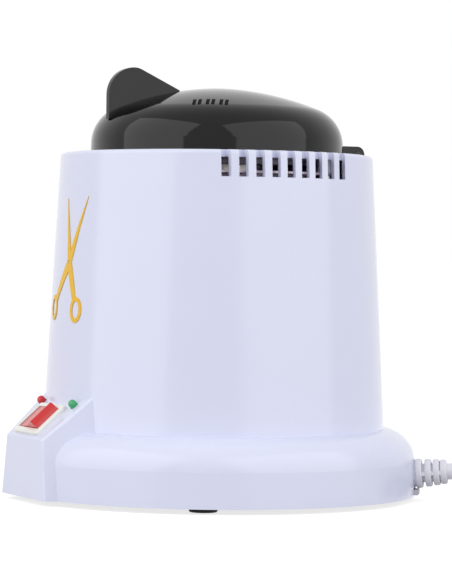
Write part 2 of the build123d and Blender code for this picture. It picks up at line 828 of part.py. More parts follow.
save(strain_relief.part, "strain_relief")

# Mains lead: from the relief's tip down to the floor and into its coil
relief_tip = relief_seat + relief_axis * tip


def tube_along(points, radius, label):
    """Round tube along straight runs joined by arcs as large as the runs allow."""
    corners = [Vector(*p) for p in points]
    radii = []
    for before, here, after in zip(corners, corners[1:], corners[2:]):
        into = here - before
        out = after - here
        turn = math.radians(into.get_angle(out))
        radii.append(0.45 * min(into.length, out.length) / math.tan(turn / 2))
    with BuildPart() as tube:
        with BuildLine():
            route = FilletPolyline(*corners, radius=radii)
        with BuildSketch(Plane(origin=route @ 0, z_dir=route % 0)):
            Circle(radius)
        sweep(path=route)
    share = tube.part.volume / (route.length * math.pi * radius**2)
    print(label, "radii", [round(r, 1) for r in radii], "length", round(route.length, 1))
    print(label, "volume over section times length", round(share, 4))
    save(tube.part, label)


lead_points = [
    tuple(relief_tip),
    tuple(relief_tip + relief_axis * 12),
    (67.6, 94.8, 8.4),
    (76.4, 110.6, 4.2),
    (81.8, 121.1, 3.1),
]
tube_along(lead_points, cord_radius, "cord_lead")

coil_foot = (coil_centre[0], coil_centre[1], coil_floor)
with BuildPart() as cord_coil:
    with BuildSketch(Plane(origin=coil_foot, x_dir=(1, 0, 0), z_dir=(0, -1, 0))):
        with Locations((coil_radius, coil_height / 2)):
            RectangleRounded(coil_width, coil_height, cord_radius)
    revolve(axis=Axis(coil_foot, (0, 0, 1)))
save(cord_coil.part, "cord_coil")

# Tail that leaves the coil along its turn and ends in a flat two-pin plug on the floor
turn = math.radians(tail_turn)
plug_along = Vector(-math.cos(turn), -math.sin(turn), 0)
tail_start = Vector(*coil_centre, 0) + Vector(-math.sin(turn), math.cos(turn), 0) * coil_radius
tail_points = [
    tuple(tail_start + Vector(0, 0, coil_turn_z)),
    tuple(tail_start + plug_along * tail_length / 2 + Vector(0, 0, plug_axis_z)),
    tuple(tail_start + plug_along * tail_length + Vector(0, 0, plug_axis_z)),
]
tube_along(tail_points, cord_radius, "cord_tail")
plug_neck = tail_start + plug_along * (tail_length + plug_relief_length) + Vector(0, 0, plug_axis_z)


def plug_plane(along):
    """A plane across the plug, this far from its neck towards its pins."""
    return Plane(origin=plug_neck + plug_along * along, x_dir=(-plug_along.Y, plug_along.X, 0), z_dir=plug_along)


with BuildPart() as plug:
    with BuildSketch(plug_plane(plug_length)):
        RectangleRounded(plug_width, plug_thickness, 4)
    with BuildSketch(plug_plane(plug_length * 0.45)):
        RectangleRounded(plug_width - 3, plug_thickness, 4)
    with BuildSketch(plug_plane(0)):
        RectangleRounded(plug_neck_width, plug_neck_thickness, 4)
    loft()
    with BuildSketch(plug_plane(0)):
        Circle(plug_neck_thickness / 2 - 0.4)
    with BuildSketch(plug_plane(-plug_relief_length)):
        Circle(cord_radius + 0.9)
    loft()
save(plug.part, "plug")

with BuildPart() as plug_pins:
    for side in (-1, 1):
        with BuildSketch(plug_plane(plug_length)):
            with Locations((side * plug_pin_spacing / 2, 0)):
                Circle(plug_pin_radius)
        extrude(amount=plug_pin_length)
    fillet(plug_pins.faces().filter_by(lambda f: f.normal_at().dot(plug_along) > 0.99).edges(), 1.2)
save(plug_pins.part, "plug_pins")

# Inner end of the lead, its clamp and the terminal block on the base plate
with BuildPart() as lead_inner:
    with BuildSketch(relief_plane.offset(-2.8)):
        Circle(cord_radius)
    extrude(amount=-inner_lead_length)
save(lead_inner.part, "lead_inner")

clamp_place = Location(around(skirt_radius - clamp_inset, cord_angle), cord_angle)
with BuildPart() as cord_clamp:
    with BuildSketch(Plane.XY.offset(plate_top_z)):
        with Locations(clamp_place):
            Rectangle(clamp_width, clamp_depth)
            with Locations((-clamp_screw_reach, 0), (clamp_screw_reach, 0)):
                Circle(clamp_screw_radius + 0.05, mode=Mode.SUBTRACT)
    extrude(amount=clamp_height)
    with BuildSketch(relief_plane.offset(-2.8)):
        Circle(cord_radius + 0.05)
    extrude(amount=-2 * inner_lead_length, mode=Mode.SUBTRACT)
save(cord_clamp.part, "cord_clamp")

with BuildPart() as clamp_screws:
    with BuildSketch(Plane.XY.offset(plate_top_z)):
        with Locations(clamp_place):
            with Locations((-clamp_screw_reach, 0), (clamp_screw_reach, 0)):
                Circle(clamp_screw_radius)
    extrude(amount=clamp_height)
    with BuildSketch(Plane.XY.offset(plate_top_z + clamp_height)):
        with Locations(clamp_place):
            with Locations((-clamp_screw_reach, 0), (clamp_screw_reach, 0)):
                Circle(clamp_screw_radius + 1.0)
    extrude(amount=1.4)
save(clamp_screws.part, "clamp_screws")

block_place = Location(around(skirt_radius - block_inset, cord_angle), cord_angle)
block_ways = (-block_pitch, 0, block_pitch)
with BuildPart() as terminal_block:
    with BuildSketch(Plane.XY.offset(plate_top_z)):
        with Locations(block_place):
            Rectangle(block_width, block_depth)
    extrude(amount=block_height)
    with BuildSketch(Plane.XY.offset(plate_top_z + block_height)):
        with Locations(block_place):
            with Locations([(x, 0) for x in block_ways]):
                Circle(block_well_radius)
    extrude(amount=-block_well_depth, mode=Mode.SUBTRACT)
save(terminal_block.part, "terminal_block")

with BuildPart() as block_screws:
    with BuildSketch(Plane.XY.offset(plate_top_z + block_height - block_well_depth)):
        with Locations(block_place):
            with Locations([(x, 0) for x in block_ways]):
                Circle(block_well_radius - 0.1)
    extrude(amount=block_well_depth - 1.5)
save(block_screws.part, "block_screws")

# Wires from the block to the switch, thermostat, fuse and heater
block_face = skirt_radius - block_inset - block_depth / 2
block_wire_z = plate_top_z + block_height / 2


def block_wire(way, inward=0.0):
    """Where a wire leaves the inner face of the block, at one of its ways."""
    face = Vector(*around(block_face - inward, cord_angle, block_wire_z))
    return face + Vector(*around(1, cord_angle - 90)) * way


def switch_wire(side, away=0.0):
    """Where a wire leaves a terminal of the switch."""
    end = panel_plane(bezel_mid, -switch_body_depth - terminal_length - away).origin
    return end + Vector(side * 5, 0, 0)


tab_end_z = well_floor_z - thermostat_height - thermostat_tab
fuse_z = well_floor_z - fuse_radius - 0.2
ear_x = ear_outer - 0.9
ear_foot_y = ear_y - 1
wires = {
    "wire_supply": [
        block_wire(block_pitch),
        block_wire(block_pitch, 5),
        (26, 12, 9),
        (20, -12, 7.5),
        (12, -34, 7.5),
        switch_wire(1, 6),
        switch_wire(1),
    ],
    "wire_switched": [
        switch_wire(-1),
        switch_wire(-1, 6),
        (-7, -42, 8.5),
        (-9, -28, 15),
        (-8, -13, 28),
        (-4.5, -3, 41),
        (-4, 0, 49),
        (-4, 0, tab_end_z),
    ],
    "wire_heater": [
        (4, 0, tab_end_z),
        (4, 0, 49),
        (4.6, 4.5, 45),
        (5, 9, 49),
        (5, 11, 58),
        (4, 22, 63),
        (ear_x, ear_foot_y, 67),
        (ear_x, ear_foot_y, heater_low_z),
    ],
    "wire_return": [
        block_wire(-block_pitch),
        block_wire(-block_pitch, 5),
        (12, 22, 12),
        (2, 15, 22),
        (-5, 9, 38),
        (-8, 7, 49),
        (-8.5, 7.5, 57),
        (-13, 11, 61),
        (-fuse_offset, 11, fuse_z),
        (-fuse_offset, fuse_length / 2, fuse_z),
    ],
    "wire_fuse": [
        (-fuse_offset, -fuse_length / 2, fuse_z),
        (-fuse_offset, -10, fuse_z),
        (-20, -12, 63.5),
        (-26, -4, 62),
        (-25, 12, 62),
        (-15, 23, 63),
        (-6, 27, 65),
        (-ear_x, ear_foot_y, 68),
        (-ear_x, ear_foot_y, heater_low_z),
    ],
}
for name, points in wires.items():
    tube_along([tuple(p) for p in points], wire_radius, name)

# Printed pair of open scissors on the front of the cone
print_reach = 12.0


def scissor_half(tip, ring):
    """One blade with its shank and finger ring, as seen from the front."""
    pivot = Vector(*print_pivot)
    tip = Vector(*tip)
    ring = Vector(*ring)
    blade = (tip - pivot).normalized()
    shank = (ring - pivot).normalized()
    blade_side = Vector(-blade.Y, blade.X)
    shank_side = Vector(-shank.Y, shank.X)
    ring_edge = ring - shank * print_ring_height * 0.42
    back = pivot - blade * print_blade_width
    half_width = print_blade_width / 2
    Polygon(back + blade_side * half_width, tip, back - blade_side * half_width, align=None)
    Polygon(
        pivot + shank_side * half_width,
        ring_edge + shank_side * half_width * 0.7,
        ring_edge - shank_side * half_width * 0.7,
        pivot - shank_side * half_width,
        align=None,
    )
    with Locations(ring):
        Ellipse(print_ring_width / 2, print_ring_height / 2)


with BuildPart() as front_print:
    with BuildSketch(Plane.XZ.offset(rim_radius - print_reach / 2)):
        scissor_half(print_left_tip, print_right_ring)
        scissor_half(print_right_tip, print_left_ring)
        for ring in (print_left_ring, print_right_ring):
            with Locations(ring):
                Ellipse(
                    print_ring_width / 2 - print_ring_line,
                    print_ring_height / 2 - print_ring_line,
                    mode=Mode.SUBTRACT,
                )
        with Locations(print_pivot):
            Circle(print_blade_width / 5, mode=Mode.SUBTRACT)
    extrude(amount=print_reach)
    print_low = print_left_ring[1] - print_ring_height
    print_high = print_right_tip[1] + print_ring_height
    with BuildSketch(Plane.XZ) as print_skin:
        Polygon(
            (cone_radius(print_low), print_low),
            (cone_radius(print_low) + print_thickness, print_low),
            (cone_radius(print_high) + print_thickness, print_high),
            (cone_radius(print_high), print_high),
            align=None,
        )
    revolve(axis=Axis.Z, mode=Mode.INTERSECT)
save(front_print.part, "front_print")
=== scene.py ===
"""Looks of the glass bead sterilizer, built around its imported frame."""

import json
import math
import random

import bmesh
import bpy
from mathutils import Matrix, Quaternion, Vector
from mathutils.noise import noise as noise_at


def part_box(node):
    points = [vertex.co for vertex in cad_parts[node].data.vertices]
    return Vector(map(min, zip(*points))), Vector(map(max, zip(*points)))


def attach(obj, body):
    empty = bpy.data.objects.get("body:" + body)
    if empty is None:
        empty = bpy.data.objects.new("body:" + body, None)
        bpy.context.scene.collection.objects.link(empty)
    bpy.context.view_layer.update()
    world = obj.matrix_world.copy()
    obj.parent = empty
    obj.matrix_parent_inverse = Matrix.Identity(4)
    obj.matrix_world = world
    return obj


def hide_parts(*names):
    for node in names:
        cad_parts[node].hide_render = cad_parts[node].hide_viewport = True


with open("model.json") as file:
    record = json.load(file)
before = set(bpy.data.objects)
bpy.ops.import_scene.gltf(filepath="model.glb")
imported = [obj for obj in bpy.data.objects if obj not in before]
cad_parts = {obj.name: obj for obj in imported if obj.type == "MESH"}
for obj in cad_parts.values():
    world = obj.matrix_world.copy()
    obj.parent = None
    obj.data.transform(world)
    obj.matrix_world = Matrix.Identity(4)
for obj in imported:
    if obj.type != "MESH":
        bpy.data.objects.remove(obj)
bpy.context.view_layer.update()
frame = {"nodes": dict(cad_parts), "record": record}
nodes = frame["nodes"]
MM = 0.001


# Material helpers

def srgb(red, green, blue):
    """A colour written as 0 to 255 screen values, as linear light."""
    def linear(value):
        share = value / 255
        return share / 12.92 if share <= 0.04045 else ((share + 0.055) / 1.055) ** 2.4

    return (linear(red), linear(green), linear(blue), 1.0)


def new_material(name):
    """An empty node material; returns its nodes, its links and its surface shader."""
    material = bpy.data.materials.new(name)
    material.use_nodes = True
    tree = material.node_tree
    shader = tree.nodes["Principled BSDF"]
    return material, tree.nodes, tree.links, shader


def noise(kit, links, scale, detail=3.0, stretch=None):
    """A noise texture in object space, its scale in features per metre."""
    place = kit.new("ShaderNodeTexCoord")
    texture = kit.new("ShaderNodeTexNoise")
    texture.inputs["Scale"].default_value = scale
    texture.inputs["Detail"].default_value = detail
    if stretch is None:
        links.new(place.outputs["Object"], texture.inputs["Vector"])
        return texture
    mapping = kit.new("ShaderNodeMapping")
    mapping.inputs["Scale"].default_value = stretch
    links.new(place.outputs["Object"], mapping.inputs["Vector"])
    links.new(mapping.outputs["Vector"], texture.inputs["Vector"])
    return texture


def tint(kit, links, shader, texture, colour, spread):
    """Base colour that wavers around one colour by a small share."""
    ramp = kit.new("ShaderNodeValToRGB")
    low = [channel * (1 - spread) for channel in colour[:3]]
    high = [min(1.0, channel * (1 + spread)) for channel in colour[:3]]
    ramp.color_ramp.elements[0].position = 0.3
    ramp.color_ramp.elements[0].color = (*low, 1)
    ramp.color_ramp.elements[1].position = 0.7
    ramp.color_ramp.elements[1].color = (*high, 1)
    links.new(texture.outputs["Fac"], ramp.inputs["Fac"])
    links.new(ramp.outputs["Color"], shader.inputs["Base Color"])


def bump(kit, links, shader, texture, depth):
    """Surface relief from a texture, its depth in metres."""
    relief = kit.new("ShaderNodeBump")
    relief.inputs["Strength"].default_value = 1.0
    relief.inputs["Distance"].default_value = depth
    links.new(texture.outputs["Fac"], relief.inputs["Height"])
    links.new(relief.outputs["Normal"], shader.inputs["Normal"])


def vary(kit, links, shader, texture, socket, low, high):
    """A shader value that wavers between two limits."""
    reach = kit.new("ShaderNodeMapRange")
    reach.inputs["To Min"].default_value = low
    reach.inputs["To Max"].default_value = high
    links.new(texture.outputs["Fac"], reach.inputs["Value"])
    links.new(reach.outputs["Result"], shader.inputs[socket])


def plastic(name, colour, roughness, spread=0.015, grain=2500, depth=0.00001, coat=0.0):
    """Moulded plastic with faint mottling, fine grain and uneven gloss."""
    material, kit, links, shader = new_material(name)
    tint(kit, links, shader, noise(kit, links, 45), colour, spread)
    bump(kit, links, shader, noise(kit, links, grain), depth)
    vary(kit, links, shader, noise(kit, links, 30), "Roughness", roughness * 0.85, roughness * 1.15)
    shader.inputs["IOR"].default_value = 1.5
    shader.inputs["Coat Weight"].default_value = coat
    shader.inputs["Coat Roughness"].default_value = 0.03
    return material


def metal(name, colour, roughness, stretch=(1, 1, 1), depth=0.000004):
    """Drawn or rolled metal with directional fine lines."""
    material, kit, links, shader = new_material(name)
    lines = noise(kit, links, 900, 4, stretch)
    tint(kit, links, shader, noise(kit, links, 60), colour, 0.05)
    bump(kit, links, shader, lines, depth)
    vary(kit, links, shader, lines, "Roughness", roughness * 0.8, roughness * 1.2)
    shader.inputs["Metallic"].default_value = 1.0
    return material


def lens(name, colour):
    """Tinted diffused lamp plastic."""
    material, kit, links, shader = new_material(name)
    tint(kit, links, shader, noise(kit, links, 900), colour, 0.08)
    shader.inputs["Roughness"].default_value = 0.18
    shader.inputs["Subsurface Weight"].default_value = 0.3
    shader.inputs["Subsurface Radius"].default_value = (0.001, 0.001, 0.001)
    shader.inputs["Subsurface Scale"].default_value = 1.0
    return material


def glass(name):
    """Clear bead glass."""
    material, kit, links, shader = new_material(name)
    tint(kit, links, shader, noise(kit, links, 700), srgb(236, 240, 240), 0.03)
    shader.inputs["Roughness"].default_value = 0.05
    shader.inputs["Transmission Weight"].default_value = 0.55
    shader.inputs["IOR"].default_value = 1.46
    return material


LID_SPECULAR = 0.3

WHITE = plastic("white_plastic", srgb(219, 222, 243), 0.17, spread=0.006, grain=500, depth=0.000004)
GREY = plastic("grey_plastic", srgb(196, 196, 206), 0.5, grain=1500, depth=0.00004)
BLACK = plastic("black_plastic", (0.0025, 0.0025, 0.003, 1), 0.07, spread=0.2, grain=260, depth=0.000006)
BLACK.node_tree.nodes["Principled BSDF"].inputs["Specular IOR Level"].default_value = LID_SPECULAR
RESIN = plastic("black_resin", (0.018, 0.018, 0.019, 1), 0.42, spread=0.1, grain=1800, depth=0.00003)
RUBBER = plastic("black_rubber", (0.012, 0.012, 0.012, 1), 0.75, spread=0.2, grain=2200, depth=0.00005)
RED = plastic("red_plastic", srgb(205, 26, 30), 0.22, coat=0.3)
BEZEL = plastic("white_switch_plastic", srgb(236, 236, 231), 0.32)
CORD = plastic("white_cord", srgb(226, 225, 234), 0.4, grain=1800, depth=0.00002)
PRINT = plastic("yellow_print", srgb(232, 182, 14), 0.4, spread=0.03, grain=3500, depth=0.00001)
SLEEVE = plastic("wire_sleeve", srgb(222, 220, 210), 0.6, grain=2600, depth=0.00003)
WIRE_RED = plastic("red_wire", srgb(190, 40, 36), 0.4)
WIRE_BLACK = plastic("black_wire", (0.02, 0.02, 0.021, 1), 0.4)
BOARD = plastic("board", srgb(70, 110, 60), 0.5)
STEEL = metal("well_steel", srgb(205, 203, 198), 0.28, (1, 1, 0.05))
# steel grey of the shield, with a mauve tint that is painted shade from inside the housing
SHEET_WITH_PAINTED_SHADE = metal("shield_steel", srgb(205, 192, 205), 0.5, (1, 1, 0.1))
OXIDE = metal("black_oxide_steel", srgb(60, 60, 62), 0.4)
SCREW = metal("screw_steel", srgb(200, 200, 202), 0.3)
HEATER = metal("heater_steel", srgb(178, 170, 158), 0.4)
ALUMINIUM = metal("liner_aluminium", srgb(222, 222, 222), 0.3, (1, 1, 1))
BRASS = metal("brass", srgb(214, 188, 120), 0.3)
PINS = metal("plug_pins", srgb(214, 212, 205), 0.22)
GREEN_LENS = lens("green_lens", srgb(60, 170, 110))
RED_LENS = lens("red_lens", srgb(200, 40, 44))
BEADS = glass("bead_glass")
WOOL = plastic("ceramic_wool", srgb(236, 232, 222), 0.95, spread=0.06, grain=700, depth=0.0006)

# Height below which the collar's sleeve carries painted shade
COLLAR_EDGE = 0.12595


def collar_with_painted_shade():
    """Black on the flange that shows; the sleeve under the deck is painted a mauve-grey that stands in for
    the shade there.
    """
    material, kit, links, shader = new_material("collar_resin_painted_shade")
    place = kit.new("ShaderNodeTexCoord")
    split = kit.new("ShaderNodeSeparateXYZ")
    level = kit.new("ShaderNodeMath")
    level.operation = "GREATER_THAN"
    level.inputs[1].default_value = COLLAR_EDGE
    speckle = noise(kit, links, 500)
    # painted shade: below COLLAR_EDGE the sleeve takes the mauve-grey of a pale part in shade inside the
    # housing
    painted_shade_ramp = kit.new("ShaderNodeValToRGB")
    painted_shade_ramp.color_ramp.elements[0].color = srgb(196, 184, 200)
    painted_shade_ramp.color_ramp.elements[1].color = srgb(214, 202, 216)
    mix = kit.new("ShaderNodeMix")
    mix.data_type = "RGBA"
    mix.inputs["B"].default_value = (0.018, 0.018, 0.019, 1)
    links.new(place.outputs["Object"], split.inputs["Vector"])
    links.new(split.outputs["Z"], level.inputs[0])
    links.new(speckle.outputs["Fac"], painted_shade_ramp.inputs["Fac"])
    links.new(level.outputs["Value"], mix.inputs["Factor"])
    links.new(painted_shade_ramp.outputs["Color"], mix.inputs["A"])
    links.new(mix.outputs["Result"], shader.inputs["Base Color"])
    bump(kit, links, shader, noise(kit, links, 1800), 0.00003)
    vary(kit, links, shader, noise(kit, links, 90), "Roughness", 0.36, 0.5)
    return material


FINISHES = {
    "white_plastic": WHITE,
    "grey_plastic": GREY,
    "black_plastic": BLACK,
    "black_resin": RESIN,
    "black_rubber": RUBBER,
    "red_plastic": RED,
    "white_switch_plastic": BEZEL,
    "white_cord": CORD,
    "yellow_print": PRINT,
    "wire_white": SLEEVE,
    "wire_red": WIRE_RED,
    "wire_black": WIRE_BLACK,
    "board": BOARD,
    "well_steel": STEEL,
    "shield_steel": SHEET_WITH_PAINTED_SHADE,
    "screw_steel": SCREW,
    "heater_steel": HEATER,
    "liner_aluminium": ALUMINIUM,
    "brass": BRASS,
    "plug_pins": PINS,
    "green_lens": GREEN_LENS,
    "red_lens": RED_LENS,
    "bead_glass": BEADS,
    "ceramic_wool": WOOL,
}


def paint(thing, material):
    """Gives a whole object one material."""
    thing.data.materials.clear()
    thing.data.materials.append(material)


def finish_nodes():
    """Every frame node gets the finish of its material slot."""
    for part in frame["record"]["subparts"]:
        paint(nodes[part["node"]], FINISHES[part["material_slot"]])


finish_nodes()
paint(nodes["collar"], collar_with_painted_shade())
paint(nodes["hinge_pin"], OXIDE)


# Mains lead: one spline from the relief, through the coil, to the plug

CORD_RADIUS = 3.0 * MM
COIL_CENTRE = Vector((52.4, 136.1, 0)) * MM
PLUG_HEADING = math.radians(192)
STEPS_PER_TURN = 16

# Turns done, radius and height of the cord's middle, in millimetres
COIL_STATIONS = [
    (-0.03, 39.0, 3.1),
    (0.65, 39.0, 3.1),
    (1.00, 33.0, 3.1),
    (1.65, 33.0, 3.1),
    (2.00, 27.0, 3.1),
    (2.35, 27.0, 3.1),
    (2.65, 24.3, 8.3),
    (3.00, 24.3, 8.4),
    (3.17, 27.3, 9.3),
    (3.35, 30.6, 8.6),
    (3.65, 30.6, 8.6),
    (3.83, 30.6, 9.4),
    (4.00, 30.6, 8.6),
    (4.17, 33.6, 9.4),
    (4.35, 36.5, 8.5),
    (4.65, 36.5, 8.5),
    (4.83, 36.5, 9.4),
    (5.00, 36.5, 8.5),
    (5.40, 36.5, 8.4),
]
COIL_START = math.radians(-27)


def coil_at(turn):
    """The cord's middle at a number of turns, in metres."""
    for (t0, r0, z0), (t1, r1, z1) in zip(COIL_STATIONS, COIL_STATIONS[1:]):
        if turn <= t1:
            share = (turn - t0) / (t1 - t0)
            ease = (1 - math.cos(math.pi * share)) / 2
            radius = r0 + (r1 - r0) * ease
            height = z0 + (z1 - z0) * ease
            break
    half_step = math.pi / STEPS_PER_TURN
    radius = radius / (0.75 + 0.25 * math.cos(2 * half_step))
    angle = COIL_START + 2 * math.pi * turn
    around = Vector((math.cos(angle) * radius, math.sin(angle) * radius, height)) * MM
    return COIL_CENTRE + around


def coil_route():
    """Three turns on the floor from the outside in, then turns that lie on them."""
    first = round(-0.03 * STEPS_PER_TURN)
    last = int(5.358 * STEPS_PER_TURN)
    return [coil_at(step / STEPS_PER_TURN) for step in range(first, last + 1)]


def tail_point(distance, off_centre, height):
    """A point beside the line on which the plug lies, in millimetres."""
    along = Vector((math.cos(PLUG_HEADING), math.sin(PLUG_HEADING), 0))
    across = Vector((along.y, -along.x, 0))
    return COIL_CENTRE + (along * distance + across * off_centre + Vector((0, 0, height))) * MM


LEAD_ROUTE = [
    Vector((50.871, 70.019, 11.185)) * MM,
    Vector((57.898, 79.690, 12.231)) * MM,
    Vector((67.2, 92.6, 8.6)) * MM,
    Vector((75.9, 103.6, 4.4)) * MM,
]
TAIL_ROUTE = [
    tail_point(9, 36.2, 8.9),
    tail_point(16, 35.0, 9.6),
    tail_point(22, 33.6, 9.2),
    tail_point(27.5, 33.0, 7.3),
    tail_point(32, 33.0, 7.0),
]


def cord_spline(name, points, radius):
    """A round cord on one smooth spline through a route."""
    curve = bpy.data.curves.new(name, "CURVE")
    curve.dimensions = "3D"
    curve.bevel_depth = radius
    curve.bevel_resolution = 5
    curve.resolution_u = 4
    curve.use_fill_caps = True
    spline = curve.splines.new("NURBS")
    spline.points.add(len(points) - 1)
    for spot, point in zip(spline.points, points):
        spot.co = (*point, 1)
    spline.order_u = 3
    spline.use_endpoint_u = True
    thing = bpy.data.objects.new(name, curve)
    bpy.context.scene.collection.objects.link(thing)
    return thing


mains_cord = cord_spline("mains_cord", LEAD_ROUTE + coil_route() + TAIL_ROUTE, CORD_RADIUS)
mains_cord.data.materials.append(CORD)
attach(mains_cord, "housing")
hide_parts("cord_lead", "cord_coil", "cord_tail")


# Camera, where the photograph was taken from

CAMERA_SIDE = Vector((0.891, -0.454, 0))
IMAGE_RIGHT = Vector((0.454, 0.891, 0))
CAMERA_REACH = 0.973
CAMERA_HEIGHT = 0.088
AIM_RIGHT = 0.004
AIM_HEIGHT = 0.0756
ROLL = math.radians(0.7)

lens_data = bpy.data.cameras.new("camera")
lens_data.sensor_width = 36
lens_data.lens = 162.1
camera = bpy.data.objects.new("camera", lens_data)
bpy.context.scene.collection.objects.link(camera)
camera.location = CAMERA_SIDE * CAMERA_REACH + Vector((0, 0, CAMERA_HEIGHT))
aim = IMAGE_RIGHT * AIM_RIGHT + Vector((0, 0, AIM_HEIGHT))
facing = (aim - camera.location).to_track_quat("-Z", "Y")
camera.rotation_mode = "QUATERNION"
camera.rotation_quaternion = facing @ Quaternion((0, 0, 1), ROLL)
bpy.context.scene.camera = camera


# Glass beads: small spheres in loose layers over a plain core

BEAD_RADIUS = 1.0 * MM
BEAD_FILL_RADIUS = 22.6 * MM
BEAD_TOP = 105.0 * MM
BEAD_CORE_TOP = 103.2 * MM


def bead_spots():
    """Seeded, jittered spots for the beads that can be seen from above."""
    dice = random.Random(11)
    spots = []
    pitch = 2.04 * MM
    reach = BEAD_FILL_RADIUS - BEAD_RADIUS
    for layer in range(2):
        shift = layer * pitch / 2
        rows = int(2 * reach / (pitch * 0.87)) + 2
        for row in range(-rows // 2, rows // 2 + 1):
            for column in range(-rows // 2, rows // 2 + 1):
                x = (column + (row % 2) / 2) * pitch + shift
                y = row * pitch * 0.87 + shift * 0.58
                x += dice.uniform(-0.09, 0.09) * MM
                y += dice.uniform(-0.09, 0.09) * MM
                if math.hypot(x, y) > reach:
                    continue
                heap = 0.8 * MM * math.cos(math.pi / 2 * math.hypot(x, y) / reach)
                z = BEAD_TOP - layer * 1.6 * MM + heap - BEAD_RADIUS
                z += dice.uniform(-0.22, 0.22) * MM
                spots.append((Vector((x, y, z)), BEAD_RADIUS * dice.uniform(0.93, 1.0)))
    return spots


def make_beads():
    """One mesh for all the beads and the core under them."""
    ball = bmesh.new()
    bmesh.ops.create_icosphere(ball, subdivisions=2, radius=1.0)
    ball.verts.ensure_lookup_table()
    corners = [v.co.copy() for v in ball.verts]
    sides = [[v.index for v in f.verts] for f in ball.faces]
    ball.free()
    points = []
    faces = []
    for spot, radius in bead_spots():
        base = len(points)
        points.extend(spot + corner * radius for corner in corners)
        faces.extend([index + base for index in side] for side in sides)
    low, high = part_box("glass_beads")
    ring = 64
    levels = [
        (low.z, BEAD_FILL_RADIUS - 2.4 * MM),
        (low.z + 2.6 * MM, BEAD_FILL_RADIUS),
        (BEAD_CORE_TOP - 1.0 * MM, BEAD_FILL_RADIUS),
        (BEAD_CORE_TOP, BEAD_FILL_RADIUS - 2.0 * MM),
    ]
    base = len(points)
    for height, radius in levels:
        for i in range(ring):
            a = 2 * math.pi * i / ring
            points.append(Vector((math.cos(a) * radius, math.sin(a) * radius, height)))
    for level in range(len(levels) - 1):
        for i in range(ring):
            here = base + level * ring
            after = (i + 1) % ring
            faces.append([here + i, here + after, here + ring + after, here + ring + i])
    faces.append([base + i for i in reversed(range(ring))])
    faces.append([base + (len(levels) - 1) * ring + i for i in range(ring)])
    mesh = bpy.data.meshes.new("bead_fill")
    mesh.from_pydata([tuple(p) for p in points], [], faces)
    mesh.polygons.foreach_set("use_smooth", [True] * len(mesh.polygons))
    mesh.update()
    thing = bpy.data.objects.new("bead_fill", mesh)
    bpy.context.scene.collection.objects.link(thing)
    thing.data.materials.append(BEADS)
    return thing


bead_fill = make_beads()
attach(bead_fill, "housing")
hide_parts("glass_beads")


# Ceramic wool sleeve, with the uneven face of a wrapped blanket

def make_wool():
    """A soft split sleeve in the space of its solid, its faces a little uneven."""
    low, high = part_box("insulation")
    inner = 26.8 * MM
    outer = high.x - 0.1 * MM
    gap = math.radians(17)
    turns = 96
    rows = 14
    grain = 0.5 * MM
    dice = Vector((3.1, 7.7, 1.3))
    made = bmesh.new()
    rings = []
    for i in range(turns + 1):
        angle = math.pi / 2 + gap + (2 * math.pi - 2 * gap) * i / turns
        loop = []
        outline = []
        for row in range(rows + 1):
            outline.append((outer, low.z + (high.z - low.z) * row / rows))
        for row in range(rows, -1, -1):
            outline.append((inner, low.z + (high.z - low.z) * row / rows))
        for radius, height in outline:
            place = Vector((math.cos(angle) * radius, math.sin(angle) * radius, height))
            wave = noise_at(place * 160 + dice)
            edge = min(height - low.z, high.z - height, 3 * MM) / (3 * MM)
            pull = grain * (0.5 + 0.5 * wave) + (1 - edge) ** 2 * 0.8 * MM
            if radius == outer:
                near = radius - pull
            else:
                near = radius + pull
            loop.append(made.verts.new((math.cos(angle) * near, math.sin(angle) * near, height)))
        rings.append(loop)
    count = len(rings[0])
    for first, second in zip(rings, rings[1:]):
        for j in range(count):
            k = (j + 1) % count
            made.faces.new((first[j], second[j], second[k], first[k]))
    made.faces.new(rings[0])
    made.faces.new(list(reversed(rings[-1])))
    for face in made.faces:
        face.smooth = True
    bmesh.ops.recalc_face_normals(made, faces=made.faces)
    mesh = bpy.data.meshes.new("wool_sleeve")
    made.to_mesh(mesh)
    made.free()
    thing = bpy.data.objects.new("wool_sleeve", mesh)
    bpy.context.scene.collection.objects.link(thing)
    thing.data.materials.append(WOOL)
    return thing


wool_sleeve = make_wool()
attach(wool_sleeve, "housing")
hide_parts("insulation")


# Strain relief: rings on a thin core, joined by two side bars

def new_piece(name, mesh_maker, material):
    """An object from a bmesh, smooth shaded where its faces meet gently."""
    mesh = bpy.data.meshes.new(name)
    bmesh.ops.recalc_face_normals(mesh_maker, faces=mesh_maker.faces)
    mesh_maker.to_mesh(mesh)
    mesh_maker.free()
    mesh.polygons.foreach_set("use_smooth", [True] * len(mesh.polygons))
    mesh.set_sharp_from_angle(angle=math.radians(35))
    thing = bpy.data.objects.new(name, mesh)
    bpy.context.scene.collection.objects.link(thing)
    thing.data.materials.append(material)
    return thing


RELIEF_SEAT = Vector((42.908, 59.058, 10.0)) * MM
RELIEF_RINGS = [(2.3, 5.4), (5.7, 5.1), (8.7, 4.8), (11.3, 4.5)]
RING_WIDTH = 2.3
RING_EDGE = 0.5
NECK_RADIUS = 4.8
CORE_RADIUS = 3.4
RELIEF_TIP = 13.6
RELIEF_SIDES = 48
BAR_ENDS = [(2.6, 5.15), (13.2, 4.25)]
BAR_ROOT = 3.0
BAR_HALF_HEIGHT = 0.75
BOX_FACES = [(0, 1, 2, 3), (7, 6, 5, 4), (0, 4, 5, 1), (1, 5, 6, 2), (2, 6, 7, 3), (3, 7, 4, 0)]


def ring_profile(start, radius):
    """Distance and radius over one ring, its two outer corners rounded."""
    rows = []
    flat = radius - RING_EDGE
    for step in range(5):
        turn = math.pi / 2 * step / 4
        rows.append((start + RING_EDGE - RING_EDGE * math.cos(turn), flat + RING_EDGE * math.sin(turn)))
    for step in range(5):
        turn = math.pi / 2 * (1 - step / 4)
        distance = start + RING_WIDTH - RING_EDGE + RING_EDGE * math.cos(turn)
        rows.append((distance, flat + RING_EDGE * math.sin(turn)))
    return rows


